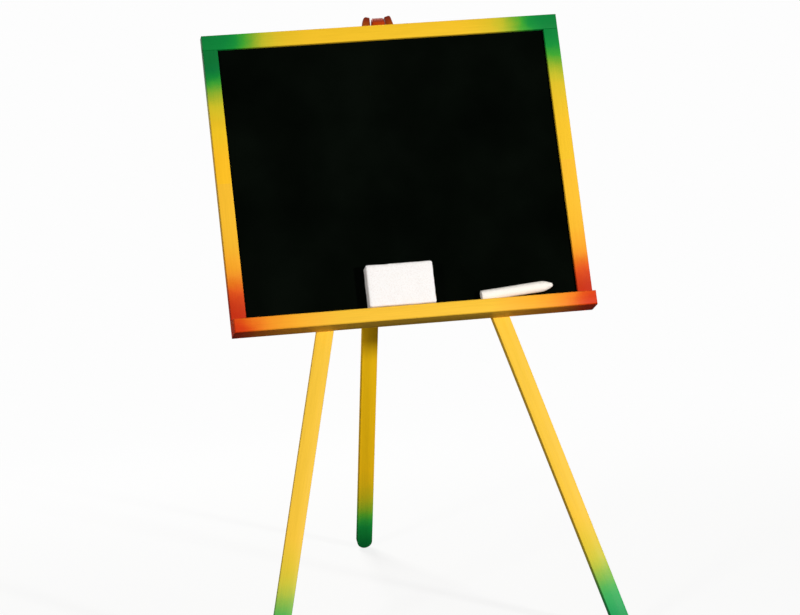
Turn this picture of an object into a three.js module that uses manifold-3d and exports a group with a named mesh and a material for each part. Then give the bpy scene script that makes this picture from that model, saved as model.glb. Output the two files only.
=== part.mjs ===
// A child's writing board: a framed blackboard with a chalk ledge, carried by a folding three-legged easel.
// Millimetres, +Z up. +X is the viewer's right and the viewer looks along +Y.
// The origin is on the floor, under the centre of the easel's footprint.
import * as THREE from "three";
import { mergeVertices } from "three/addons/utils/BufferGeometryUtils.js";
import Module from "manifold-3d";

const wasm = await Module();
wasm.setup();

const fit = 0.3; // clearance between pieces that touch

// Frame of painted strips, and the panel in their grooves
const boardWidth = 400;
const frameHeight = 339; // top of the rail to the underside of the ledge
const stripDepth = 14;
const railHeight = 17;
const stileWidth = 16.5;
const ledgeHeight = 15.7;
const ledgeReach = 17.3; // how far the ledge stands out in front of the frame
const ledgeNose = 2.4;
const ledgeCorner = 3;
const edgeRadius = 1.2;
const panelThickness = 3;
const panelRecess = 4.5; // from the frame's front to the panel's face
const grooveDepth = 5;

// Legs, all cut from one strip
const legLength = 730;
const legWidth = 18.6;
const legThickness = 10.4;
const legEase = 1;
const legSplay = THREE.MathUtils.degToRad(14.65);
const legSpacing = 9.2; // from the middle to each front leg's axis, at the frame's top
const legRise = 13.5; // of the front legs above the frame's top, along their axes
const tipRound = 3; // of the corners of their square-cut tops
const rearAngle = THREE.MathUtils.degToRad(45.5); // between the open rear leg and the board
const rearRise = 11.6; // of the rear leg above its pivot
const tongueWidth = 14; // the rear leg's narrow top, between the front legs
const tongueReach = 41; // below the pivot
const shoulderSlope = 4;
const cheekThickness = 8.4;

// Fasteners
const pivotRadius = 2;
const pivotHeadRadius = 4;
const pivotHeadHeight = 2.6;
const pivotHeadRim = 1.6; // height of the head's straight side
const pivotHeadCrown = 2.8; // radius of its flat crown
const pivotPoint = 0.4; // bevel on the screw's end
const pivotOverhang = 2; // of the screw's end beyond its nut
const nutFlats = 7;
const nutSides = 6;
const nutHeight = 3.2;
const washerRadius = 4.5;
const washerThickness = 1;
const seatRadius = 6.2; // of the flats that the cheeks have for the outer washers
const woodScrewLength = 20;
const woodScrewRadius = 1.7;
const woodScrewHead = 3.4;
const woodScrewTaper = 4;
const ledgeScrewHeight = 6.5; // above the ledge's underside
const nailLength = 32;
const nailRadius = 0.9;
const nailHead = 1.8;
const nailHeadHeight = 0.8;

// What lies on the ledge
const spongeWidth = 75.5;
const spongeHeight = 48.5;
const spongeDepth = 19.5;
const spongeRound = 2.5;
const spongeEase = 1.25; // of its front and back edges
const spongePlace = -13.7; // its middle, from the board's middle
const chalkLength = 81;
const chalkRadius = 6.1;
const chalkEdge = 0.5; // bevel round its flat end
const chalkNose = 13; // length of its rounded end
const chalkBluntness = 0.8; // 1 is a pure ellipse, less is fuller
const chalkPlace = 125; // its flat end, from the board's right side
const chalkTilt = THREE.MathUtils.degToRad(4.5);

const overcut = 5; // how far a cutting solid runs past what it cuts
const roundSides = 16;
const cornerSteps = 3;
const endSteps = 12;
const noseSteps = 5;

// Materials
const paint = (color) => new THREE.MeshStandardMaterial({ color, roughness: 0.45, metalness: 0 });
const yellow = paint(0xf5c33a);
const slate = new THREE.MeshStandardMaterial({ color: 0x0d110f, roughness: 0.9, metalness: 0 });
const steel = new THREE.MeshStandardMaterial({ color: 0xb9bcc0, roughness: 0.35, metalness: 1 });
const foam = new THREE.MeshStandardMaterial({ color: 0xfbf3ee, roughness: 1, metalness: 0 });
const chalkWhite = new THREE.MeshStandardMaterial({ color: 0xf7f3e8, roughness: 0.95, metalness: 0 });

const axisX = new THREE.Vector3(1, 0, 0);
const axisY = new THREE.Vector3(0, 1, 0);
const axisZ = new THREE.Vector3(0, 0, 1);

// Where an outline's own across, up and extrusion directions go: a strip that runs along X,
// one that stands along Z, and a flat piece whose thickness lies along Y.
const alongX = new THREE.Matrix4().makeBasis(axisY, axisZ, axisX);
const alongZ = new THREE.Matrix4();
const facingFront = new THREE.Matrix4().makeBasis(axisX, axisZ, axisY.clone().negate());

// A closed solid from a geometry whose faces meet in space.
function solid(geometry) {
  const bare = geometry.clone();
  bare.deleteAttribute("normal");
  bare.deleteAttribute("uv");
  const merged = mergeVertices(bare);
  const corners = merged.index.array;
  const triangles = [];
  for (let i = 0; i < corners.length; i += 3) {
    const [a, b, c] = corners.slice(i, i + 3);
    if (a !== b && b !== c && c !== a) triangles.push(a, b, c);
  }
  const vertProperties = new Float32Array(merged.attributes.position.array);
  const triVerts = new Uint32Array(triangles);
  return new wasm.Manifold(new wasm.Mesh({ numProp: 3, vertProperties, triVerts }));
}

function geometryOf(body) {
  const { vertProperties, triVerts } = body.getMesh();
  const geometry = new THREE.BufferGeometry();
  geometry.setAttribute("position", new THREE.BufferAttribute(new Float32Array(vertProperties), 3));
  geometry.setIndex(new THREE.BufferAttribute(new Uint32Array(triVerts), 1));
  const faceted = geometry.toNonIndexed();
  faceted.computeVertexNormals();
  return faceted;
}

// A closed outline through corners given as [across, up, radius], each eased by its radius.
function outline(corners) {
  const shape = new THREE.Shape();
  const count = corners.length;
  corners.forEach(([x, y, radius], i) => {
    const here = new THREE.Vector2(x, y);
    const toward = (other) => new THREE.Vector2(...other).sub(here).setLength(radius).add(here);
    const from = toward(corners[(i + count - 1) % count].slice(0, 2));
    const to = toward(corners[(i + 1) % count].slice(0, 2));
    const draw = i === 0 ? "moveTo" : "lineTo";
    shape[draw](from.x, from.y);
    if (radius > 0) shape.quadraticCurveTo(x, y, to.x, to.y);
  });
  return shape;
}

// A straight extrusion of an outline, laid by one of the directions above, from start to end.
function bar(shape, direction, start, end) {
  const geometry = new THREE.ExtrudeGeometry(shape, {
    depth: end - start,
    bevelEnabled: false,
    curveSegments: cornerSteps,
  });
  geometry.translate(0, 0, start);
  return solid(geometry.applyMatrix4(direction));
}

// A flat board of the given thickness, centred on its plane, with eased edges all round.
function easedBoard(shape, thickness, ease) {
  const geometry = new THREE.ExtrudeGeometry(shape, {
    depth: thickness - 2 * ease,
    bevelThickness: ease,
    bevelSize: ease,
    bevelOffset: -ease,
    bevelSegments: 2,
    curveSegments: endSteps,
  });
  geometry.translate(0, 0, ease - thickness / 2);
  return geometry.applyMatrix4(facingFront);
}

function block(x0, x1, y0, y1, z0, z1) {
  const geometry = new THREE.BoxGeometry(x1 - x0, y1 - y0, z1 - z0);
  geometry.translate((x0 + x1) / 2, (y0 + y1) / 2, (z0 + z1) / 2);
  return solid(geometry);
}

// A turned piece. Its profile is a list of [radius, distance along the axis] that starts and ends on the axis.
function turned(profile, axis, place) {
  const points = profile.map(([radius, along]) => new THREE.Vector2(radius, along));
  const geometry = new THREE.LatheGeometry(points, roundSides);
  geometry.applyQuaternion(new THREE.Quaternion().setFromUnitVectors(axisY, axis));
  geometry.translate(place.x, place.y, place.z);
  return solid(geometry);
}

function rod(radius, axis, place, start, end) {
  return turned([[0, start], [radius, start], [radius, end], [0, end]], axis, place);
}

function ring(inner, outer, axis, place, start, end) {
  return rod(outer, axis, place, start, end).subtract(rod(inner, axis, place, start - overcut, end + overcut));
}

// The hole for a turned piece: its profile with clearance, run out past its head.
function holeFor(profile) {
  const widened = profile.map(([radius, along]) => [radius > 0 ? radius + fit : 0, along]);
  const [, tip] = widened[0];
  const mouth = widened[widened.length - 2][0];
  return [[0, tip - fit], [widened[1][0], tip - fit], ...widened.slice(1, -1), [mouth, overcut], [0, overcut]];
}

// Places in the board's own frame: X across, Y back from the frame's front, Z up from the rail's top
const halfBoard = boardWidth / 2;
const openingHalf = halfBoard - stileWidth;
const ledgeTop = ledgeHeight - frameHeight;
const grooveFront = panelRecess - fit;
const grooveBack = panelRecess + panelThickness + fit;
const legFront = stripDepth + fit;
const legBack = legFront + legThickness;
const legMiddle = (legFront + legBack) / 2;

// The rear leg folds flat behind the frame, so its pivot lies one clearance further back than the front legs'
// middle. Open, its face rests on the rail's rounded rear top edge, which sets the pivot's height.
const pivotDepth = legMiddle + fit;
const stopReach = legThickness / 2 + fit + edgeRadius;
const stopAcross = (pivotDepth - stripDepth + edgeRadius) * Math.cos(rearAngle);
const pivotHeight = (stopReach - stopAcross) / Math.sin(rearAngle) - edgeRadius;
const pivot = new THREE.Vector3(0, pivotDepth, pivotHeight);
const cheekInner = tongueWidth / 2 + washerThickness + 2 * fit;
const cheekOuter = cheekInner + cheekThickness;
const headSeat = cheekOuter + washerThickness + 2 * fit;

// The front legs' axes pass legSpacing from the middle at the frame's top and spread downwards.
const legAxisAt = (z) => legSpacing - z * Math.tan(legSplay);

const easel = new THREE.Group();
const board = new THREE.Group();
easel.add(board);

function addPiece(name, shape, material, parent = board) {
  const geometry = shape.isBufferGeometry ? shape : geometryOf(shape);
  const mesh = new THREE.Mesh(geometry, material);
  mesh.name = name;
  parent.add(mesh);
  return mesh;
}

// Fastener profiles, head at 0 and point below it
const nailProfile = [
  [0, -nailLength],
  [nailRadius, 2 * nailRadius - nailLength],
  [nailRadius, -nailHeadHeight - fit],
  [nailHead, -nailHeadHeight],
  [nailHead, -fit],
  [0, -fit],
];
const woodScrewProfile = [
  [0, -woodScrewLength],
  [woodScrewRadius, woodScrewTaper - woodScrewLength],
  [woodScrewRadius, woodScrewRadius - woodScrewHead - fit],
  [woodScrewHead, -fit],
  [0, -fit],
];

const nailX = (openingHalf + halfBoard) / 2;
const nailY = (grooveBack + stripDepth) / 2;
const nails = [];
for (const side of [-1, 1]) {
  const hand = side < 0 ? "left" : "right";
  nails.push({ name: `top_${hand}_nail`, axis: axisZ, place: new THREE.Vector3(side * nailX, nailY, 0) });
  const below = new THREE.Vector3(side * nailX, nailY, -frameHeight);
  nails.push({ name: `bottom_${hand}_nail`, axis: axisZ.clone().negate(), place: below });
}

// The lower screws are on the legs' axes, the upper ones in the middle of what the cheeks leave of the legs.
const legEdgeAt = (z) => legAxisAt(z) + legWidth / 2 / Math.cos(legSplay);
const screwAcross = (level, z) => (level === "upper" ? (cheekInner + legEdgeAt(z)) / 2 : legAxisAt(z));
const screws = [];
for (const side of [-1, 1]) {
  const hand = side < 0 ? "left" : "right";
  const heights = { upper: -railHeight / 2, lower: ledgeScrewHeight - frameHeight };
  for (const [level, z] of Object.entries(heights)) {
    const place = new THREE.Vector3(side * screwAcross(level, z), legBack, z);
    screws.push({ name: `${hand}_leg_${level}_screw`, axis: axisY, place });
  }
}

const bored = (body, fasteners, profile) =>
  fasteners.reduce((rest, { axis, place }) => rest.subtract(turned(holeFor(profile), axis, place)), body);
const drilled = (body) => bored(bored(body, nails, nailProfile), screws, woodScrewProfile);

// Top rail: runs the full width, with the panel's groove along its underside
function topRail() {
  const section = outline([
    [0, -railHeight, edgeRadius],
    [grooveFront, -railHeight, 0],
    [grooveFront, grooveDepth - railHeight, 0],
    [grooveBack, grooveDepth - railHeight, 0],
    [grooveBack, -railHeight, 0],
    [stripDepth, -railHeight, edgeRadius],
    [stripDepth, 0, edgeRadius],
    [0, 0, edgeRadius],
  ]);
  const plan = outline([
    [-halfBoard, 0, edgeRadius],
    [halfBoard, 0, edgeRadius],
    [halfBoard, stripDepth, edgeRadius],
    [-halfBoard, stripDepth, edgeRadius],
  ]);
  const length = bar(section, alongX, -halfBoard, halfBoard);
  return drilled(length.intersect(bar(plan, alongZ, -railHeight - overcut, overcut)));
}

// Chalk ledge: full width under the stiles, standing out in front, grooved for the panel
function chalkLedge() {
  const section = outline([
    [-ledgeReach, -frameHeight, ledgeNose],
    [stripDepth, -frameHeight, edgeRadius],
    [stripDepth, ledgeTop, edgeRadius],
    [grooveBack, ledgeTop, 0],
    [grooveBack, ledgeTop - grooveDepth, 0],
    [grooveFront, ledgeTop - grooveDepth, 0],
    [grooveFront, ledgeTop, 0],
    [-ledgeReach, ledgeTop, ledgeNose],
  ]);
  const plan = outline([
    [-halfBoard, -ledgeReach, ledgeCorner],
    [halfBoard, -ledgeReach, ledgeCorner],
    [halfBoard, stripDepth, edgeRadius],
    [-halfBoard, stripDepth, edgeRadius],
  ]);
  const length = bar(section, alongX, -halfBoard, halfBoard);
  return drilled(length.intersect(bar(plan, alongZ, -frameHeight - overcut, ledgeTop + overcut)));
}

// Stile: grooved on its inner side, with a stub tenon at each end that fills the rail's and the ledge's groove
function stile(side) {
  const grooveEnd = openingHalf + grooveDepth;
  const section = outline([
    [side * openingHalf, 0, edgeRadius],
    [side * halfBoard, 0, edgeRadius],
    [side * halfBoard, stripDepth, edgeRadius],
    [side * openingHalf, stripDepth, edgeRadius],
    [side * openingHalf, grooveBack, 0],
    [side * grooveEnd, grooveBack, 0],
    [side * grooveEnd, grooveFront, 0],
    [side * openingHalf, grooveFront, 0],
  ]);
  const post = bar(section, alongZ, ledgeTop + fit, -railHeight - fit);
  const [near, far] = [side * grooveEnd, side * (halfBoard - edgeRadius)].sort((a, b) => a - b);
  const low = ledgeTop - grooveDepth + fit;
  const high = grooveDepth - railHeight - fit;
  const tongue = block(near, far, panelRecess, panelRecess + panelThickness, low, high);
  return drilled(post.add(tongue));
}

// Writing panel: hardboard held in the four grooves
function writingPanel() {
  const half = openingHalf + grooveDepth - fit;
  const low = ledgeTop - grooveDepth + fit;
  const high = grooveDepth - railHeight - fit;
  return block(-half, half, panelRecess, panelRecess + panelThickness, low, high);
}

// Front leg: a strip with a round foot and a square top, which is sawn to an upright cheek beside the tongue
function frontLeg(side) {
  const half = legWidth / 2;
  const shape = new THREE.Shape();
  shape.moveTo(half, -tipRound);
  shape.quadraticCurveTo(half, 0, half - tipRound, 0);
  shape.lineTo(tipRound - half, 0);
  shape.quadraticCurveTo(-half, 0, -half, -tipRound);
  shape.absarc(0, half - legLength, half, Math.PI, 2 * Math.PI);
  const strip = easedBoard(shape, legThickness, legEase);
  strip.translate(0, 0, legRise);
  strip.rotateY(-side * legSplay);
  strip.translate(side * legSpacing, legMiddle, 0);
  const outward = axisX.clone().multiplyScalar(side);
  const [near, far] = [-side * legWidth, side * cheekInner].sort((a, b) => a - b);
  const cheek = block(near, far, legFront - overcut, legBack + overcut, -legLength / 2, legRise + legWidth);
  const bore = rod(pivotRadius + fit, outward, pivot, 0, cheekOuter + overcut);
  const seat = rod(seatRadius, outward, pivot, cheekOuter, cheekOuter + legWidth);
  return drilled(solid(strip).subtract(cheek).subtract(bore).subtract(seat));
}

// Rear leg: the same strip, its top narrowed by sloping shoulders to a tongue that turns on the pivot screw
function rearLeg() {
  const half = legWidth / 2;
  const narrow = tongueWidth / 2;
  const shape = new THREE.Shape();
  shape.moveTo(half, -tongueReach - shoulderSlope);
  shape.lineTo(narrow, -tongueReach);
  shape.lineTo(narrow, rearRise - edgeRadius);
  shape.lineTo(narrow - edgeRadius, rearRise);
  shape.lineTo(edgeRadius - narrow, rearRise);
  shape.lineTo(-narrow, rearRise - edgeRadius);
  shape.lineTo(-narrow, -tongueReach);
  shape.lineTo(-half, -tongueReach - shoulderSlope);
  shape.absarc(0, rearRise + half - legLength, half, Math.PI, 2 * Math.PI);
  const strip = solid(easedBoard(shape, legThickness, legEase));
  return strip.subtract(rod(pivotRadius + fit, axisX, new THREE.Vector3(), -legWidth, legWidth));
}

// Pivot screw: its pan head on the left, its plain end through the nut on the right
function pivotScrew() {
  const end = headSeat + fit + nutHeight + pivotOverhang;
  const profile = [
    [0, -end],
    [pivotRadius - pivotPoint, -end],
    [pivotRadius, pivotPoint - end],
    [pivotRadius, headSeat],
    [pivotHeadRadius, headSeat],
    [pivotHeadRadius, headSeat + pivotHeadRim],
    [pivotHeadCrown, headSeat + pivotHeadHeight],
    [0, headSeat + pivotHeadHeight],
  ];
  return turned(profile, axisX.clone().negate(), pivot);
}

function pivotNut() {
  const corner = nutFlats / 2 / Math.cos(Math.PI / nutSides);
  const hexagon = new THREE.CylinderGeometry(corner, corner, nutHeight, nutSides);
  hexagon.rotateZ(Math.PI / 2);
  hexagon.translate(headSeat + nutHeight / 2, pivot.y, pivot.z);
  return solid(hexagon).subtract(rod(pivotRadius + fit, axisX, pivot, 0, headSeat + nutHeight + overcut));
}

// Sponge: a soft block standing on the ledge against the panel
function sponge() {
  const half = spongeWidth / 2;
  const shape = outline([
    [-half, 0, spongeRound],
    [half, 0, spongeRound],
    [half, spongeHeight, spongeRound],
    [-half, spongeHeight, spongeRound],
  ]);
  const body = easedBoard(shape, spongeDepth, spongeEase);
  return solid(body.translate(spongePlace, panelRecess - fit - spongeDepth / 2, ledgeTop + fit));
}

// Chalk: a stick with one flat end on the ledge, leaning on the panel, and one blunt nose
function chalk() {
  const profile = [[0, 0], [chalkRadius - chalkEdge, 0], [chalkRadius, chalkEdge]];
  for (let i = 0; i < noseSteps; i += 1) {
    const turn = (i / noseSteps) * (Math.PI / 2);
    const radius = chalkRadius * Math.cos(turn) ** chalkBluntness;
    profile.push([radius, chalkLength - chalkNose * (1 - Math.sin(turn))]);
  }
  profile.push([0, chalkLength]);
  const lift = ledgeTop + fit + chalkRadius * Math.cos(chalkTilt);
  const direction = new THREE.Vector3(Math.cos(chalkTilt), 0, Math.sin(chalkTilt));
  const end = new THREE.Vector3(halfBoard - chalkPlace, panelRecess - fit - chalkRadius, lift);
  return turned(profile, direction, end);
}

addPiece("top_rail", topRail(), yellow);
addPiece("left_stile", stile(-1), yellow);
addPiece("right_stile", stile(1), yellow);
addPiece("chalk_ledge", chalkLedge(), yellow);
addPiece("writing_panel", writingPanel(), slate);
addPiece("left_front_leg", frontLeg(-1), yellow);
addPiece("right_front_leg", frontLeg(1), yellow);
const rear = addPiece("rear_leg", rearLeg(), yellow);
rear.position.copy(pivot);
rear.rotation.x = rearAngle;
addPiece("pivot_screw", pivotScrew(), steel);
addPiece("pivot_nut", pivotNut(), steel);
for (const [hand, side] of [["left", -1], ["right", 1]]) {
  const outward = axisX.clone().multiplyScalar(side);
  const seats = { spacer: tongueWidth / 2 + fit, outer: cheekOuter + fit };
  for (const [kind, start] of Object.entries(seats)) {
    const washer = ring(pivotRadius + fit, washerRadius, outward, pivot, start, start + washerThickness);
    addPiece(`${hand}_${kind}_washer`, washer, steel);
  }
}
for (const { name, axis, place } of nails) addPiece(name, turned(nailProfile, axis, place), steel);
for (const { name, axis, place } of screws) addPiece(name, turned(woodScrewProfile, axis, place), steel);
addPiece("sponge", sponge(), foam);
addPiece("chalk", chalk(), chalkWhite);

// The board leans back until the front feet and the rear foot stand on one floor. Each foot touches it with
// an eased edge: the front feet with the back one, the rear foot with the front one.
const frontReach = (legLength - legRise - legWidth / 2) * Math.cos(legSplay) + legWidth / 2 - legEase;
const frontFoot = { back: legBack - legEase, up: -frontReach };
const rearReach = legLength - rearRise - legEase;
const rearFace = legThickness / 2 - legEase;
const rearFoot = {
  back: pivot.y + rearReach * Math.sin(rearAngle) - rearFace * Math.cos(rearAngle),
  up: pivot.z - rearReach * Math.cos(rearAngle) - rearFace * Math.sin(rearAngle),
};
board.rotation.x = -Math.atan2(rearFoot.up - frontFoot.up, rearFoot.back - frontFoot.back);
easel.updateMatrixWorld(true);
const extent = new THREE.Box3().setFromObject(easel, true);
const middle = extent.getCenter(new THREE.Vector3());
board.position.set(-middle.x, -middle.y, -extent.min.z);

export default easel;
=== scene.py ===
from math import atan2, hypot, pi, radians

import bpy
from mathutils import Matrix, Vector, noise


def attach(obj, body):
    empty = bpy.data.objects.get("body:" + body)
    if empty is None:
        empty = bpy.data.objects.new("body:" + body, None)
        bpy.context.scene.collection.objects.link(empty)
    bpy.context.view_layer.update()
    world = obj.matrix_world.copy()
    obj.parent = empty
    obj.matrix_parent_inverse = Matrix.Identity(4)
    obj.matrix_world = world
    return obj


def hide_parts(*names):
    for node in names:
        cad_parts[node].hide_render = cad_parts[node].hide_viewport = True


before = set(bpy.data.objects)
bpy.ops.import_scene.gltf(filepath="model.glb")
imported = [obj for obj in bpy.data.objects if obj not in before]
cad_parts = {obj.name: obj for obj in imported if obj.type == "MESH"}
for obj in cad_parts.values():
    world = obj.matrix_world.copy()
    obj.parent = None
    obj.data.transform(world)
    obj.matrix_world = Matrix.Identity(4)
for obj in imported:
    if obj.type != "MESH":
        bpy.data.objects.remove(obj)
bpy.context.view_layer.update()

# The camera that took the photo: a long lens, a little to the left of the board and a little above its top.
# It was tipped sideways by a few degrees, which makes the ledge climb to the right.
camera_place = (-0.5811, -3.33719, 0.7949)
camera_turn = (82.2454, 3.158, -10.5301)  # degrees
lens = bpy.data.cameras.new("photo_lens")
lens.lens = 135
lens.sensor_width = 36
lens.clip_end = 50
camera = bpy.data.objects.new("photo_camera", lens)
camera.location = camera_place
camera.rotation_euler = [radians(angle) for angle in camera_turn]
bpy.context.scene.collection.objects.link(camera)
bpy.context.scene.camera = camera
bpy.context.scene.view_settings.view_transform = "Standard"

# Studio light: two soft lamps in front, hardly above the lens, and a broad one behind for the back.
# The small right lamp is the main one: it throws the board's shadow on the rear leg's top. Faces that look
# down stay dark.
lamps = [  # name, place in metres, width in metres, watts
    ("right_softbox", (1.51, -2.78, 0.95), 0.2, 77.0),
    ("left_softbox", (-2.47, -3.1, 1.2), 0.55, 56.5),
    ("rear_softbox", (-0.3, 2.6, 2.0), 1.2, 95.0),
]
lamp_target = Vector((0, -0.05, 0.33))
for name, place, width, watts in lamps:
    softbox = bpy.data.lights.new(name, "AREA")
    softbox.shape = "SQUARE"
    softbox.size = width
    softbox.energy = watts
    lamp = bpy.data.objects.new(name, softbox)
    lamp.location = place
    lamp.rotation_euler = (lamp_target - lamp.location).to_track_quat("-Z", "Y").to_euler()
    bpy.context.scene.collection.objects.link(lamp)


def linear(colour):
    """An sRGB hex colour as the linear values that Blender works with."""
    parts = [int(colour[i:i + 2], 16) / 255 for i in (0, 2, 4)]
    return tuple(p / 12.92 if p <= 0.04045 else ((p + 0.055) / 1.055) ** 2.4 for p in parts) + (1.0,)


def add_node(owner, kind, inputs=None, stops=(), **settings):
    """Adds one shader node to a material or world, with its settings, its colour stops and its links."""
    node = owner.node_tree.nodes.new("ShaderNode" + kind)
    for setting, value in settings.items():
        setattr(node, setting, value)
    for place, (position, colour) in enumerate(stops):
        elements = node.color_ramp.elements
        element = elements[place] if place < len(elements) else elements.new(position)
        element.position = position
        element.color = linear(colour)
    for socket, value in (inputs or {}).items():
        if isinstance(value, bpy.types.NodeSocket):
            owner.node_tree.links.new(value, node.inputs[socket])
        else:
            node.inputs[socket].default_value = value
    return node


# The surroundings: a white studio that the camera and reflections see at full strength.
# What reaches the object from it otherwise is a weak, even fill.
studio = bpy.data.worlds.new("white_studio")
studio.use_nodes = True
studio.node_tree.nodes.clear()
ray = add_node(studio, "LightPath").outputs
seen = add_node(studio, "Math", {0: ray["Is Camera Ray"], 1: ray["Is Glossy Ray"]}, operation="MAXIMUM")
seen = add_node(studio, "Math", {0: seen.outputs[0], 1: ray["Is Transmission Ray"]}, operation="MAXIMUM")
fill_light, backdrop_white = 0.07, 1.0
level = add_node(
    studio, "MapRange", {"Value": seen.outputs[0], "To Min": fill_light, "To Max": backdrop_white})
wall = add_node(studio, "Background", {"Color": linear("fdfdfd"), "Strength": level.outputs[0]})
add_node(studio, "OutputWorld", {"Surface": wall.outputs[0]})
bpy.context.scene.world = studio

# The floor is a plain pale sheet that runs into the white wall, with the easel's soft shadow on it.
# It is pale to the camera only, and dark to all else, so that little light comes back up under the ledge.
bpy.ops.object.select_all(action="DESELECT")
bpy.ops.mesh.primitive_plane_add(size=14, location=(0, 0, 0))
floor = bpy.context.object
floor.name = "floor"
paper = bpy.data.materials.new("pale_floor_paper")
paper.use_nodes = True
paper.node_tree.nodes.clear()
ray = add_node(paper, "LightPath").outputs
sheet_colour = add_node(
    paper, "Mix", {0: ray["Is Camera Ray"], 6: linear("3c3c3c"), 7: linear("f7f7f5")}, data_type="RGBA")
lit = add_node(paper, "BsdfDiffuse", {"Color": sheet_colour.outputs[2]})
glow = add_node(paper, "Emission", {"Color": linear("fdfdfd"), "Strength": 1.0})
spot = add_node(paper, "TexCoord").outputs["Object"]
away = add_node(paper, "VectorMath", {0: spot}, operation="LENGTH").outputs["Value"]
shadow_reach, shadow_end = 0.45, 1.3  # metres from the easel's middle over which the shadow is lost
near_whiteness = 0.84
whiteness = add_node(paper, "MapRange", {
    "Value": away, "From Min": shadow_reach, "From Max": shadow_end, "To Min": near_whiteness, "To Max": 1.0},
    interpolation_type="SMOOTHSTEP").outputs[0]
glow_share = add_node(paper, "Math", {0: ray["Is Camera Ray"], 1: whiteness}, operation="MULTIPLY")
sheet = add_node(paper, "MixShader", {0: glow_share.outputs[0], 1: lit.outputs[0], 2: glow.outputs[0]})
add_node(paper, "OutputMaterial", {"Surface": sheet.outputs[0]})
floor.data.materials.append(paper)

# The frame: four pine strips with eased edges, closed with glue and a nail at each corner.
# Satin enamel is sprayed on: golden yellow all over, then green on the upper corners and red on the lower.
# It gives flat, saturated colour with a dull sheen, through which the grain shows as faint long streaks.
board_lean = radians(20.4245)
rail_top = Vector((0, -0.04976808, 0.65818233))  # the middle of the frame's upper front edge
board_frame = Matrix.Translation(rail_top) @ Matrix.Rotation(-board_lean, 4, "X")
half_width, frame_height = 0.2, 0.339
corner_green = [
    (0.00, "087a36"), (0.22, "098238"), (0.31, "158f37"), (0.39, "3fa42e"), (0.46, "77ac2a"),
    (0.53, "a6b629"), (0.60, "c8be29"), (0.68, "dec028"), (0.84, "ecc128"), (1.00, "f4c229"),
]
left_stile_green = [
    (0.00, "096e34"), (0.23, "056f31"), (0.29, "047335"), (0.35, "0f8533"), (0.40, "379e30"),
    (0.46, "7aac2c"), (0.52, "a7b428"), (0.57, "cec026"), (0.65, "ddc125"), (0.72, "e8be22"),
    (0.79, "f2c522"), (1.00, "fdc022"),
]
corner_red = [
    (0.00, "b82c0c"), (0.20, "c2300e"), (0.28, "c83a12"), (0.34, "d34414"), (0.40, "e25818"),
    (0.465, "e87718"), (0.53, "f29224"), (0.60, "f6a324"), (0.66, "faab29"), (0.80, "f7b82c"),
    (1.00, "f8bd2f"),
]
ledge_red = [
    (0.00, "d03408"), (0.09, "d83e0f"), (0.15, "e25312"), (0.21, "ec7219"), (0.28, "f38621"),
    (0.34, "f69223"), (0.46, "f8a228"), (0.60, "faaf2d"), (0.78, "f9b735"), (1.00, "f7c138"),
]
peel_size, drop_size = 0.0012, 0.0009  # of the enamel's orange peel and the spray's drops, coarser than real
cloud_size, frame_mist, leg_mist = 0.014, 0.01, 0.008  # of a spray's edge, and how far it strays
grain_relief, peel_relief, enamel_shine = 0.00025, 0.00008, 0.08


def own_place(material, piece_frame):
    """Object coordinates turned into the piece's own frame, in metres."""
    back = piece_frame.inverted()
    return add_node(material, "Mapping", {
        "Vector": add_node(material, "TexCoord").outputs["Object"],
        "Location": back.to_translation(),
        "Rotation": back.to_euler(),
    }).outputs[0]


def enamel_on_pine(material, place, grain, colour):
    """Finishes a sprayed strip: pine grain that shows faintly through satin enamel, and its fine orange peel.
    grain holds the pattern's size in metres along each of the piece's own directions."""
    stretched = add_node(
        material, "VectorMath", {0: place, 1: [1 / size for size in grain]}, operation="MULTIPLY").outputs[0]
    fibres = add_node(
        material, "TexNoise", {"Vector": stretched, "Scale": 1.0, "Detail": 5.0, "Roughness": 0.6})
    peel = add_node(material, "TexNoise", {"Vector": place, "Scale": 1 / peel_size, "Detail": 2.0})
    streak = add_node(material, "MapRange", {
        "Value": fibres.outputs[0], "From Min": 0.3, "From Max": 0.72, "To Min": 0.93, "To Max": 1.03})
    toned = add_node(material, "VectorMath", {0: colour, 3: streak.outputs[0]}, operation="SCALE")
    gloss = add_node(material, "MapRange", {
        "Value": fibres.outputs[0], "From Min": 0.3, "From Max": 0.7, "To Min": 0.36, "To Max": 0.5})
    grain_bump = add_node(
        material, "Bump", {"Height": fibres.outputs[0], "Strength": 0.35, "Distance": grain_relief})
    skin = add_node(material, "Bump", {
        "Height": peel.outputs[0], "Strength": 0.15, "Distance": peel_relief,
        "Normal": grain_bump.outputs[0]})
    enamel = add_node(material, "BsdfPrincipled", {
        "Base Color": toned.outputs[0],
        "Roughness": gloss.outputs[0],
        "Specular IOR Level": enamel_shine,
        "IOR": 1.5,
        "Normal": skin.outputs[0],
    })
    add_node(material, "OutputMaterial", {"Surface": enamel.outputs[0]})


def spray_mist(material, place, distance, depth):
    """Roughens a distance by the cloudy edge and the fine drops of a spray gun."""
    cloud = add_node(material, "TexNoise", {"Vector": place, "Scale": 1 / cloud_size, "Detail": 2.0})
    drops = add_node(material, "TexNoise", {"Vector": place, "Scale": 1 / drop_size, "Detail": 1.0})
    mist = add_node(
        material, "Math", {0: cloud.outputs[0], 1: depth, 2: distance}, operation="MULTIPLY_ADD")
    fine = add_node(
        material, "Math", {0: drops.outputs[0], 1: depth, 2: mist.outputs[0]}, operation="MULTIPLY_ADD")
    return add_node(material, "Math", {0: fine.outputs[0], 1: depth}, operation="SUBTRACT").outputs[0]


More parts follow.
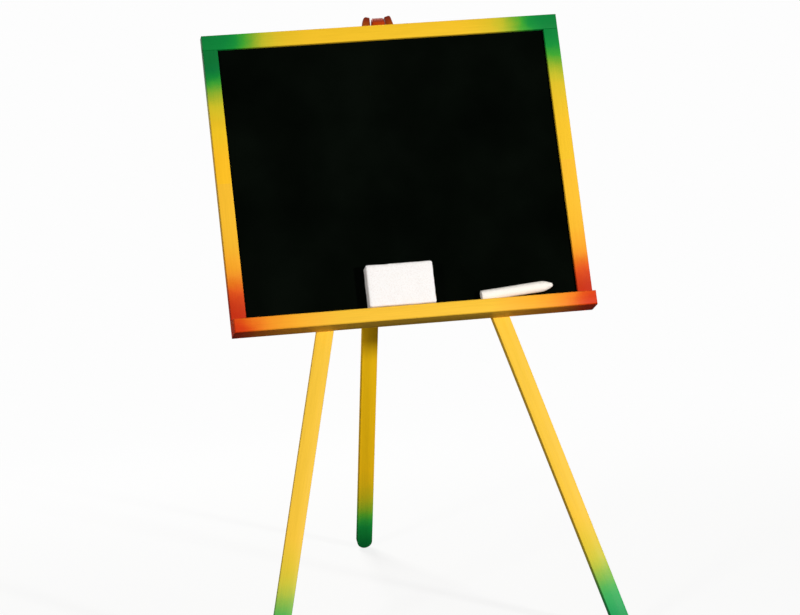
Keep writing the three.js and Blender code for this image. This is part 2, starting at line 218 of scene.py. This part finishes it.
def frame_enamel(name, grain, sprays):
    """Enamel for a strip of the frame, its colours set by how far each point is from the frame's corners.
    A spray holds the height of its two corners, its colours, its reach from them and its sideways shift."""
    material = bpy.data.materials.new(name)
    material.use_nodes = True
    material.node_tree.nodes.clear()
    place = own_place(material, board_frame)
    across = add_node(material, "SeparateXYZ", {0: place}).outputs
    colour, nearest = None, None
    for height, stops, reach, shift in sprays:
        moved = add_node(material, "Math", {0: across[0], 1: shift}, operation="ADD")
        mirrored = add_node(material, "Math", {0: moved.outputs[0]}, operation="ABSOLUTE")
        folded = add_node(material, "CombineXYZ", {0: mirrored.outputs[0], 2: across[2]})
        away = add_node(
            material, "VectorMath", {0: folded.outputs[0], 1: (half_width, 0, height)}, operation="DISTANCE")
        distance = spray_mist(material, place, away.outputs["Value"], frame_mist)
        share = add_node(material, "Math", {0: distance, 1: reach}, operation="DIVIDE")
        sprayed = add_node(material, "ValToRGB", {0: share.outputs[0]}, stops=stops).outputs[0]
        if colour is None:
            colour, nearest = sprayed, distance
        else:
            closer = add_node(material, "Math", {0: nearest, 1: distance}, operation="GREATER_THAN")
            mixed = add_node(material, "Mix", {0: closer.outputs[0], 6: colour, 7: sprayed}, data_type="RGBA")
            colour = mixed.outputs[2]
    enamel_on_pine(material, place, grain, colour)
    return material


def eased_copy(node, body, name, material):
    """A strip as the CAD has it, with its facets merged and its eased edges shaded round."""
    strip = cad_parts[node].copy()
    strip.data = strip.data.copy()
    strip.name = name
    strip.parent = None
    strip.matrix_world = Matrix.Identity(4)
    bpy.context.scene.collection.objects.link(strip)
    bpy.ops.object.select_all(action="DESELECT")
    strip.select_set(True)
    bpy.context.view_layer.objects.active = strip
    bpy.ops.object.mode_set(mode="EDIT")
    bpy.ops.mesh.select_all(action="SELECT")
    bpy.ops.mesh.remove_doubles(threshold=0.00001)
    bpy.ops.object.mode_set(mode="OBJECT")
    bpy.ops.mesh.customdata_custom_splitnormals_clear()
    bpy.ops.object.shade_smooth_by_angle(angle=radians(32))
    strip.data.materials.clear()
    strip.data.materials.append(material)
    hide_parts(node)
    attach(strip, body)
    return strip


grain_across, grain_along = 0.0011, 0.045  # the width and length of the pine's streaks
rail_grain = (grain_along, grain_across, grain_across)
stile_grain = (grain_across, grain_across, grain_along)
for node, grain, sprays in [
    ("top_rail", rail_grain, [(0, corner_green, 0.114, -0.0027)]),
    ("left_stile", stile_grain, [(0, left_stile_green, 0.14, 0), (-frame_height, corner_red, 0.126, 0)]),
    ("right_stile", stile_grain, [(0, corner_green, 0.122, 0), (-frame_height, corner_red, 0.118, 0)]),
    ("chalk_ledge", rail_grain, [(-frame_height, ledge_red, 0.12, 0.0018)]),
]:
    material = frame_enamel("satin_enamel_" + node, grain, sprays)
    eased_copy(node, "easel", node + "_strip", material)

# The writing panel: 3 mm hardboard in the frame's grooves, its face rolled with matte black writing paint.
# The paint looks deep and shineless, with a fine tooth that holds chalk and faint clouds from the roller.
# The back is bare brown hardboard, dull and fibrous, with the pattern of the screen that it was pressed on.
panel_back = 0.0072  # behind the frame's front, just short of the panel's back face
tooth_size, roller_cloud, fibre_size = 0.0007, 0.09, 0.0016  # the tooth and the fibres are coarser than real
screen_gap, tooth_relief = 0.0011, 0.00012  # between the screen's wires, and the depth of tooth and screen
panel = bpy.data.materials.new("matte_writing_paint_on_hardboard")
panel.use_nodes = True
panel.node_tree.nodes.clear()
place = own_place(panel, board_frame)
tooth = add_node(panel, "TexNoise", {"Vector": place, "Scale": 1 / tooth_size, "Detail": 3.0})
rolled = add_node(panel, "TexNoise", {"Vector": place, "Scale": 1 / roller_cloud, "Detail": 3.0})
black = add_node(
    panel, "ValToRGB", {0: rolled.outputs[0]}, stops=[(0.3, "010301"), (0.5, "030603"), (0.7, "060a06")])
fibre = add_node(panel, "TexNoise", {"Vector": place, "Scale": 1 / fibre_size, "Detail": 4.0})
brown = add_node(
    panel, "ValToRGB", {0: fibre.outputs[0]}, stops=[(0.3, "5c3d24"), (0.5, "75502f"), (0.7, "8c6540")])
mesh = add_node(
    panel, "VectorMath", {0: place, 1: [1 / screen_gap] * 3}, operation="MULTIPLY").outputs[0]
wires = add_node(panel, "SeparateXYZ", {0: mesh}).outputs
across_wire = add_node(panel, "Math", {0: wires[0], 1: 1.0}, operation="PINGPONG")
up_wire = add_node(panel, "Math", {0: wires[2], 1: 1.0}, operation="PINGPONG")
screen = add_node(panel, "Math", {0: across_wire.outputs[0], 1: up_wire.outputs[0]}, operation="MULTIPLY")
depth = add_node(panel, "SeparateXYZ", {0: place}).outputs[1]
behind = add_node(panel, "Math", {0: depth, 1: panel_back}, operation="GREATER_THAN").outputs[0]
face_colour = add_node(
    panel, "Mix", {0: behind, 6: black.outputs[0], 7: brown.outputs[0]}, data_type="RGBA").outputs[2]
relief = add_node(panel, "Mix", {0: behind, 2: tooth.outputs[0], 3: screen.outputs[0]}).outputs[0]
skin = add_node(panel, "Bump", {"Height": relief, "Strength": 0.5, "Distance": tooth_relief})
face = add_node(panel, "BsdfPrincipled", {
    "Base Color": face_colour, "Roughness": 0.9, "Specular IOR Level": 0.012, "Normal": skin.outputs[0]})
add_node(panel, "OutputMaterial", {"Surface": face.outputs[0]})
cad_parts["writing_panel"].data.materials.clear()
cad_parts["writing_panel"].data.materials.append(panel)

# The three legs: round-ended pine strips, sprayed like the frame, with green feet and dark red tips. The
# front tips' dark red is partly painted shade.
# The front two spread from the head joint, and the rear one turns between them on the pivot screw.
# The front legs' golden enamel is the frame's, with the same dull sheen and faint grain. The rear leg's is
# the same enamel in a brighter, more saturated yellow and green: painted light.
leg_length, leg_splay, leg_spacing, leg_rise, leg_middle = 0.73, radians(14.65), 0.0092, 0.0135, 0.0195
pivot_local = Vector((0, 0.0198, 0.0013147))
rear_angle, rear_rise = radians(45.5), 0.0116
tip_reach, rear_foot_reach, front_foot_reach, reach_change = 0.06, 0.12, 0.136, 0.002
foot_green = [
    (0.00, "1a8a48"), (0.18, "28a058"), (0.30, "3aab59"), (0.37, "52b154"), (0.43, "6fb54d"),
    (0.49, "91bb47"), (0.56, "b6c240"), (0.63, "d0c63a"), (0.76, "e4c534"), (1.00, "f5c43a"),
]
# The front tips: sprayed dark red, made darker still by painted shade where they sit behind the top rail.
front_tip_red_with_painted_shade = [
    (0.00, "6c241a"), (0.08, "842f12"), (0.17, "974406"), (0.30, "b86a10"), (0.55, "dd9a20"),
    (1.00, "f5c43a"),
]
# The rear leg's stops end in a brighter yellow than the front legs': painted light, making up for the light
# that its downward-facing front lacks.
rear_foot_green_with_painted_light = [
    (0.00, "0b6630"), (0.13, "0e7933"), (0.27, "17913b"), (0.34, "2fa63b"), (0.42, "5fb62e"),
    (0.50, "93bc27"), (0.58, "bcc020"), (0.68, "dac21a"), (0.85, "f6c616"), (1.00, "ffc814"),
]
rear_tip_red_with_painted_light = [
    (0.00, "ad3508"), (0.10, "bc4606"), (0.20, "b45206"), (0.34, "bd6d0c"), (0.58, "e29c12"),
    (1.00, "ffc814"),
]


def leg_enamel(name, leg_frame, foot_reach, foot_stops, tip_stops):
    """Enamel for a leg. Its own frame has its tip at zero and its foot a leg's length below."""
    material = bpy.data.materials.new(name)
    material.use_nodes = True
    material.node_tree.nodes.clear()
    place = own_place(material, leg_frame)
    along = add_node(material, "SeparateXYZ", {0: place}).outputs[2]
    from_foot = add_node(material, "Math", {0: along, 1: leg_length}, operation="ADD").outputs[0]
    from_tip = add_node(material, "Math", {0: along, 1: -1.0}, operation="MULTIPLY").outputs[0]
    colours = []
    for distance, reach, stops in [(from_foot, foot_reach, foot_stops), (from_tip, tip_reach, tip_stops)]:
        misty = spray_mist(material, place, distance, leg_mist)
        share = add_node(material, "Math", {0: misty, 1: reach}, operation="DIVIDE")
        colours.append(add_node(material, "ValToRGB", {0: share.outputs[0]}, stops=stops).outputs[0])
    near_tip = add_node(material, "Math", {0: along, 1: -leg_length / 2}, operation="GREATER_THAN")
    colour = add_node(
        material, "Mix", {0: near_tip.outputs[0], 6: colours[0], 7: colours[1]}, data_type="RGBA")
    enamel_on_pine(material, place, stile_grain, colour.outputs[2])
    return material


for hand, side in [("left", -1), ("right", 1)]:
    top = Matrix.Translation((side * leg_spacing, leg_middle, 0)) @ Matrix.Rotation(-side * leg_splay, 4, "Y")
    leg_frame = board_frame @ top @ Matrix.Translation((0, 0, leg_rise))
    node = f"{hand}_front_leg"
    foot_reach = front_foot_reach - side * reach_change
    material = leg_enamel("satin_enamel_" + node, leg_frame, foot_reach, foot_green, front_tip_red_with_painted_shade)
    eased_copy(node, "easel", node + "_strip", material)
rear_frame = (
    board_frame @ Matrix.Translation(pivot_local) @ Matrix.Rotation(rear_angle, 4, "X")
    @ Matrix.Translation((0, 0, rear_rise)))
rear_enamel_with_painted_light = leg_enamel(
    "satin_enamel_rear_leg_with_painted_light", rear_frame, rear_foot_reach, rear_foot_green_with_painted_light, rear_tip_red_with_painted_light)
eased_copy("rear_leg", "rear_leg", "rear_leg_strip", rear_enamel_with_painted_light)

# The metal parts: screws, nut, washers and nails of cold-formed steel, all with the same bright zinc plating.
# It looks like soft silver with a slight blue cast, its shine clouded by the bloom of the plating bath.
zinc = bpy.data.materials.new("bright_zinc_plated_steel")
zinc.use_nodes = True
zinc.node_tree.nodes.clear()
place = add_node(zinc, "TexCoord").outputs["Object"]
bloom_size, bloom_relief = 0.0015, 0.00005
bloom = add_node(zinc, "TexNoise", {"Vector": place, "Scale": 1 / bloom_size, "Detail": 4.0})
plate = add_node(
    zinc, "ValToRGB", {0: bloom.outputs[0]}, stops=[(0.3, "a9adb3"), (0.5, "b9bcc0"), (0.7, "c8cacb")])
shine = add_node(zinc, "MapRange", {"Value": bloom.outputs[0], "To Min": 0.24, "To Max": 0.44})
skin = add_node(zinc, "Bump", {"Height": bloom.outputs[0], "Strength": 0.1, "Distance": bloom_relief})
plated = add_node(zinc, "BsdfPrincipled", {
    "Base Color": plate.outputs[0], "Metallic": 1.0, "Roughness": shine.outputs[0],
    "Normal": skin.outputs[0]})
add_node(zinc, "OutputMaterial", {"Surface": plated.outputs[0]})

# The pivot screw: an M4 machine screw with a pan head, through both front legs and the rear leg's tongue.
# Its shank is plain where the leg turns on it, and its rolled thread holds the nut.
pan_head = [
    (0.0036, 0.01862), (0.00392, 0.01868), (0.00398, 0.0188), (0.00398, 0.0199), (0.00386, 0.02032),
    (0.00352, 0.0207), (0.0029, 0.021), (0.0021, 0.02115),
]  # each ring's radius and height
pivot_shank, pivot_seat, pivot_end, pivot_bevel = 0.00198, 0.01862, -0.0241, 0.0004
pivot_pitch, pivot_thread_end, pivot_thread_depth, pivot_rows = 0.0007, -0.0115, 0.0004, 110
pivot_recess, pivot_recess_depth, pivot_head_turn = 0.0026, 0.0021, radians(25)


def turned_piece(name, profile, sides):
    """A turned or cast round piece along +Z: a disc extruded and resized through each (radius, height)."""
    radius, height = profile[0]
    bpy.ops.object.select_all(action="DESELECT")
    bpy.ops.mesh.primitive_circle_add(
        vertices=sides, radius=radius, fill_type="NGON", location=(0, 0, height))
    piece = bpy.context.object
    piece.name = name
    bpy.ops.object.transform_apply()
    bpy.ops.object.mode_set(mode="EDIT")
    bpy.ops.mesh.select_all(action="SELECT")
    for next_radius, next_height in profile[1:]:
        bpy.ops.mesh.extrude_region_move(TRANSFORM_OT_translate={"value": (0, 0, next_height - height)})
        share = next_radius / radius
        bpy.ops.transform.resize(value=(share, share, 1), center_override=(0, 0, next_height))
        radius, height = next_radius, next_height
    bpy.ops.mesh.select_all(action="SELECT")
    bpy.ops.mesh.remove_doubles(threshold=0.000001)
    bpy.ops.mesh.normals_make_consistent(inside=False)
    bpy.ops.object.mode_set(mode="OBJECT")
    return piece


def roll_thread(piece, start, end, pitch, depth):
    """Rolls a helical V thread into a shank's rows of points, and lets it run out at its upper end."""
    for vertex in piece.data.vertices:
        across, back, height = vertex.co
        radius = hypot(across, back)
        if start <= height <= end and radius > depth:
            phase = (height / pitch - atan2(back, across) / (2 * pi)) % 1
            groove = depth * (1 - abs(2 * phase - 1)) * min(1, (end - height) / pitch)
            vertex.co.x *= 1 - groove / radius
            vertex.co.y *= 1 - groove / radius


def carve(piece, tool, operation):
    """Cuts a piece with a tool, or keeps what the two share, and throws the tool away."""
    cut = piece.modifiers.new("cut", "BOOLEAN")
    cut.operation = operation
    cut.solver = "EXACT"
    cut.object = tool
    bpy.ops.object.select_all(action="DESELECT")
    piece.select_set(True)
    bpy.context.view_layer.objects.active = piece
    bpy.ops.object.modifier_apply(modifier=cut.name)
    bpy.data.objects.remove(tool)


def cross_recess(piece, head_top, reach, depth):
    """Punches a cross recess into a screw's head: two crossed slots that narrow towards their bottom."""
    tip_share, back_share, wing_share = 0.55, 1.7, 0.27
    for turn in (0, pi / 2):
        punch = turned_piece(
            "punch", [(tip_share * reach, head_top - depth), (back_share * reach, head_top + depth)], 4)
        slim = Matrix.Diagonal((1, wing_share, 1, 1)) @ Matrix.Rotation(pi / 4, 4, "Z")
        punch.data.transform(Matrix.Rotation(turn, 4, "Z") @ slim)
        carve(piece, punch, "DIFFERENCE")


def fit_metal(model, place, node):
    """Puts a copy of a finished metal part, with its own mesh, where the CAD has that node."""
    fitted = model.copy()
    fitted.data = model.data.copy()
    fitted.name = "zinc_" + node
    fitted.data.transform(place)
    bpy.context.scene.collection.objects.link(fitted)
    bpy.ops.object.select_all(action="DESELECT")
    fitted.select_set(True)
    bpy.context.view_layer.objects.active = fitted
    bpy.ops.object.shade_smooth_by_angle(angle=radians(35))
    fitted.data.materials.clear()
    fitted.data.materials.append(zinc)
    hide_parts(node)
    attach(fitted, "easel")


pivot_start = pivot_end + pivot_bevel
profile = [(pivot_shank - pivot_bevel, pivot_end), (pivot_shank, pivot_start)]
for row in range(1, pivot_rows + 1):
    share = row / pivot_rows
    profile.append((pivot_shank, pivot_start + (pivot_thread_end - pivot_end) * share))
profile += [(pivot_shank, 0.0), (pivot_shank, pivot_seat)] + pan_head
pivot_screw = turned_piece("pivot_screw_model", profile, 40)
roll_thread(pivot_screw, pivot_start - 0.0001, pivot_thread_end, pivot_pitch, pivot_thread_depth)
cross_recess(pivot_screw, pan_head[-1][1], pivot_recess, pivot_recess_depth)
pivot_frame = board_frame @ Matrix.Translation(pivot_local)
to_the_left = Matrix.Rotation(-pi / 2, 4, "Y") @ Matrix.Rotation(pivot_head_turn, 4, "Z")
fit_metal(pivot_screw, pivot_frame @ to_the_left, "pivot_screw")

# The pivot nut: a pressed M4 hexagon nut on the screw's right end, with a flat to the front and to the back.
# Its corners are turned off on both faces, and its bore is countersunk.
nut_start, nut_height, nut_corner, nut_bore = 0.0186, 0.0032, 0.00404, 0.0023
nut_face, nut_outside, nut_chamfer, nut_sink = 0.00345, 0.0042, 0.00042, 0.0004
cut_over = 0.0001  # by which a cutting piece stands out of what it cuts
nut = turned_piece("nut_model", [(nut_corner, 0), (nut_corner, nut_height)], 6)
turned_off = turned_piece("nut_chamfers", [
    (nut_face, -cut_over / 10), (nut_outside, nut_chamfer), (nut_outside, nut_height - nut_chamfer),
    (nut_face, nut_height + cut_over / 10)], 64)
carve(nut, turned_off, "INTERSECT")
bore = [
    (nut_bore + nut_sink, -cut_over), (nut_bore, nut_sink), (nut_bore, nut_height - nut_sink),
    (nut_bore + nut_sink, nut_height + cut_over),
]
carve(nut, turned_piece("nut_bore", bore, 40), "DIFFERENCE")
nut_frame = pivot_frame @ Matrix.Translation((nut_start, 0, 0)) @ Matrix.Rotation(pi / 2, 4, "Y")
fit_metal(nut, nut_frame @ Matrix.Rotation(radians(30), 4, "Z"), "pivot_nut")

# The washers: four stamped M4 rings. Two part the rear leg from the front legs, and two lie outside them,
# under the screw's head and the nut. The punch rounds the edge of one face.
washer_height, washer_radius, spacer_start, outer_start = 0.001, 0.0045, 0.0073, 0.0173
washer_edge, washer_burr, washer_round = 0.0003, 0.00006, 0.0001
washer = turned_piece("washer_model", [
    (washer_radius - washer_burr, 0), (washer_radius, washer_burr),
    (washer_radius, washer_height - washer_edge),
    (washer_radius - washer_round, washer_height - washer_round),
    (washer_radius - washer_edge, washer_height),
], 64)
washer_bore = [
    (nut_bore, -cut_over), (nut_bore, washer_height - 2 * washer_round),
    (nut_bore + washer_edge, washer_height + cut_over),
]
carve(washer, turned_piece("washer_bore", washer_bore, 48), "DIFFERENCE")
for hand, side in [("left", -1), ("right", 1)]:
    for kind, start in [("spacer", spacer_start), ("outer", outer_start)]:
        outward = Matrix.Translation((side * start, 0, 0)) @ Matrix.Rotation(side * pi / 2, 4, "Y")
        fit_metal(washer, pivot_frame @ outward, f"{hand}_{kind}_washer")

# The wood screws: four countersunk screws with a cross recess, driven from behind through the front legs
# into the top rail and the ledge. Their coarse thread narrows to a point.
screw_back = 0.0247  # the back of the front legs, behind the frame's front
screw_places = [("upper", 0.0148238, -0.0085), ("lower", 0.0961214, -0.3325)]  # sideways, and down the board
screw_turns = {"left_upper": 12, "left_lower": 63, "right_upper": -24, "right_lower": 38}  # degrees
screw_core, screw_point, screw_reach, point_slope = 0.00165, 0.0001, 0.0199, 0.4
thread_pitch, thread_depth, thread_end, thread_rows = 0.0013, 0.00045, -0.0075, 80
screw_recess, screw_recess_depth, rows_length = 0.0023, 0.0021, 0.0172
screw_head = [(screw_core, -0.0021), (0.00332, -0.00044), (0.00335, -0.00034), (0.0033, -0.00031)]
wood_profile = [(screw_point, -screw_reach)]
for row in range(1, thread_rows + 1):
    height = rows_length * row / thread_rows
    wood_profile.append((min(screw_core, screw_point + height * point_slope), height - screw_reach))
wood_screw = turned_piece("wood_screw_model", wood_profile + screw_head, 32)
roll_thread(wood_screw, 0.0001 - screw_reach, thread_end, thread_pitch, thread_depth)
cross_recess(wood_screw, screw_head[-1][1], screw_recess, screw_recess_depth)
for hand, side in [("left", -1), ("right", 1)]:
    for level, across, height in screw_places:
        seat = board_frame @ Matrix.Translation((side * across, screw_back, height))
        turn = Matrix.Rotation(radians(screw_turns[f"{hand}_{level}"]), 4, "Z")
        fit_metal(wood_screw, seat @ Matrix.Rotation(-pi / 2, 4, "X") @ turn, f"{hand}_leg_{level}_screw")

# The nails: four flat-headed wire nails, set just below the surface at the frame's corners.
# Their shanks have the gripping marks that the nail machine leaves under the head.
nail_across, nail_back = 0.19175, 0.0109
nail_wire, mark_bottom, mark_start, mark_pitch = 0.00088, 0.0008, -0.0085, 0.0012
nail_profile = [(0.0001, -0.0319), (nail_wire, -0.0302), (nail_wire, -0.009)]
for mark in range(5):
    height = mark_start + mark * mark_pitch
    middle, end = height + mark_pitch / 4, height + mark_pitch / 2
    nail_profile += [(nail_wire, height), (mark_bottom, middle), (nail_wire, end)]
nail_profile += [
    (nail_wire, -0.00125), (0.00172, -0.0011), (0.00178, -0.00095), (0.00178, -0.00048), (0.00166, -0.00034),
    (0.0009, -0.00031),
]
nail = turned_piece("nail_model", nail_profile, 32)
for hand, side in [("left", -1), ("right", 1)]:
    for level, height, flip in [("top", 0, 0), ("bottom", -frame_height, pi)]:
        corner = board_frame @ Matrix.Translation((side * nail_across, nail_back, height))
        fit_metal(nail, corner @ Matrix.Rotation(flip, 4, "X"), f"{level}_{hand}_nail")
for model in (pivot_screw, nut, washer, wood_screw, nail):
    bpy.data.objects.remove(model)

# The sponge: a block of white open-celled foam, cut square with slightly rounded edges, loose on the ledge.
# Its faces are a little uneven and full of fine pores. It has no shine, and light spreads a few millimetres
# inside it, which softens its edges.
sponge_size = Vector((0.0755, 0.0195, 0.0485))
sponge_middle = (-0.0137, -0.00555, -0.29875)
sponge_round, sponge_voxel, sponge_spare = 0.0025, 0.0009, 0.0006
cut_waves, cut_depth = 0.016, 0.0007
pore_dents, pore_depth, cell_relief = 0.0021, 0.0005, 0.0003
foam_spread = 0.006  # how far light strays in the foam
bpy.ops.object.select_all(action="DESELECT")
bpy.ops.mesh.primitive_cube_add(size=1)
sponge = bpy.context.object
sponge.name = "foam_sponge"
sponge.scale = sponge_size - Vector([sponge_spare] * 3)
bpy.ops.object.transform_apply(location=False, rotation=False, scale=True)
bpy.ops.object.mode_set(mode="EDIT")
bpy.ops.mesh.select_all(action="SELECT")
bpy.ops.mesh.bevel(offset=sponge_round, segments=4, profile=0.5)
bpy.ops.object.mode_set(mode="OBJECT")
voxels = sponge.modifiers.new("fine_cells", "REMESH")
voxels.mode = "VOXEL"
voxels.voxel_size = sponge_voxel
bpy.ops.object.modifier_apply(modifier=voxels.name)
for label, kind, size, depth in [
    ("cut", "CLOUDS", cut_waves, cut_depth), ("pores", "VORONOI", pore_dents, pore_depth),
]:
    pattern = bpy.data.textures.new("sponge_" + label, kind)
    pattern.noise_scale = size
    uneven = sponge.modifiers.new(label, "DISPLACE")
    uneven.texture = pattern
    uneven.texture_coords = "LOCAL"
    uneven.strength = depth
    uneven.mid_level = 1.0
    bpy.ops.object.modifier_apply(modifier=uneven.name)
bpy.ops.object.shade_smooth()
sponge_frame = board_frame @ Matrix.Translation(sponge_middle)
sponge.matrix_world = sponge_frame
bpy.ops.object.transform_apply()
foam = bpy.data.materials.new("white_polyurethane_foam")
foam.use_nodes = True
foam.node_tree.nodes.clear()
place = own_place(foam, sponge_frame)
pore_size, cell_size = 0.0016, 0.0006  # coarser than the real pores and cells, so that they show
pores = add_node(foam, "TexVoronoi", {"Vector": place, "Scale": 1 / pore_size})
cells = add_node(foam, "TexNoise", {"Vector": place, "Scale": 1 / cell_size, "Detail": 3.0})
hollow = add_node(foam, "Math", {0: pores.outputs["Distance"], 1: cells.outputs[0]}, operation="MULTIPLY")
# The foam's own pale pink-white, made darker inside the pores: painted shade in the dents.
foam_tone_and_pore_shade = add_node(
    foam, "ValToRGB", {0: pores.outputs["Distance"]},
    stops=[(0.0, "e9dcd6"), (0.25, "f9f0ec"), (0.6, "fdf6f3")])
skin = add_node(foam, "Bump", {"Height": hollow.outputs[0], "Strength": 0.5, "Distance": cell_relief})
cellular = add_node(foam, "BsdfPrincipled", {
    "Base Color": foam_tone_and_pore_shade.outputs[0],
    "Roughness": 1.0,
    "Specular IOR Level": 0.1,
    "Subsurface Weight": 0.6,
    "Subsurface Radius": (1.0, 1.0, 1.0),
    "Subsurface Scale": foam_spread,
    "Normal": skin.outputs[0],
})
add_node(foam, "OutputMaterial", {"Surface": cellular.outputs[0]})
sponge.data.materials.append(foam)
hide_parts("sponge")
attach(sponge, "sponge")

# The chalk: a thick cast stick of white chalk, flat at one end and narrowing to a blunt nose at the other.
# It leans on the panel with its flat end on the ledge. It is dry and powdery, so it looks soft and even, with
# a few small pits from its mould.
chalk_length, chalk_radius, chalk_nose = 0.081, 0.0061, 0.013
chalk_edge, end_round, end_bevel = 0.0006, 0.0007, 0.0002
chalk_tilt = radians(4.5)
chalk_end = Vector((0.075, -0.0019, -0.3169188))
nose_steps, nose_narrowing, nose_curve, tip_share = 9, 0.66, 1.8, 0.22
rings, ring_gap = 8, 0.0075
profile = [(chalk_radius - end_round, 0.0), (chalk_radius - end_bevel, 0.00018), (chalk_radius, chalk_edge)]
profile += [(chalk_radius, chalk_edge + ring * ring_gap) for ring in range(1, rings + 1)]
for step in range(nose_steps + 1):
    share = step / nose_steps
    radius = chalk_radius * (1 - nose_narrowing * share ** nose_curve)
    profile.append((radius, chalk_length - chalk_edge - chalk_nose * (1 - share)))
profile.append((tip_share * chalk_radius, chalk_length))
chalk = turned_piece("chalk_stick", profile, 64)
rub_waves, rub_depth, grit_waves, grit_depth, rubbed_off = 260, 0.00016, 900, 0.00006, 0.0002
for vertex in chalk.data.vertices:
    wear = noise.noise(vertex.co * rub_waves) * rub_depth + noise.noise(vertex.co * grit_waves) * grit_depth
    around = Vector((vertex.co.x, vertex.co.y, 0))
    if around.length > 0:
        vertex.co += around.normalized() * (wear - rubbed_off)
bpy.ops.object.shade_smooth_by_angle(angle=radians(40))
chalk_frame = (
    board_frame @ Matrix.Translation(chalk_end) @ Matrix.Rotation(-chalk_tilt, 4, "Y")
    @ Matrix.Rotation(pi / 2, 4, "Y"))
chalk.matrix_world = chalk_frame
bpy.ops.object.transform_apply()
cast = bpy.data.materials.new("cast_white_chalk")
cast.use_nodes = True
cast.node_tree.nodes.clear()
place = own_place(cast, chalk_frame)
powder_size, pit_spacing, powder_share = 0.0005, 0.0035, 0.3  # the powder's grain is coarser than real
powder_relief = 0.00015
powder = add_node(cast, "TexNoise", {"Vector": place, "Scale": 1 / powder_size, "Detail": 4.0})
pits = add_node(cast, "TexVoronoi", {"Vector": place, "Scale": 1 / pit_spacing})
white = add_node(
    cast, "ValToRGB", {0: powder.outputs[0]}, stops=[(0.3, "efe8dc"), (0.5, "faf4ea"), (0.7, "fdf9f2")])
pit = add_node(cast, "MapRange", {"Value": pits.outputs["Distance"], "From Max": 0.16})
rough = add_node(
    cast, "Math", {0: powder.outputs[0], 1: powder_share, 2: pit.outputs[0]}, operation="MULTIPLY_ADD")
skin = add_node(cast, "Bump", {"Height": rough.outputs[0], "Strength": 0.4, "Distance": powder_relief})
dry = add_node(cast, "BsdfPrincipled", {
    "Base Color": white.outputs[0], "Roughness": 0.95, "Specular IOR Level": 0.15, "Normal": skin.outputs[0]})
add_node(cast, "OutputMaterial", {"Surface": dry.outputs[0]})
chalk.data.materials.append(cast)
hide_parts("chalk")
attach(chalk, "chalk")
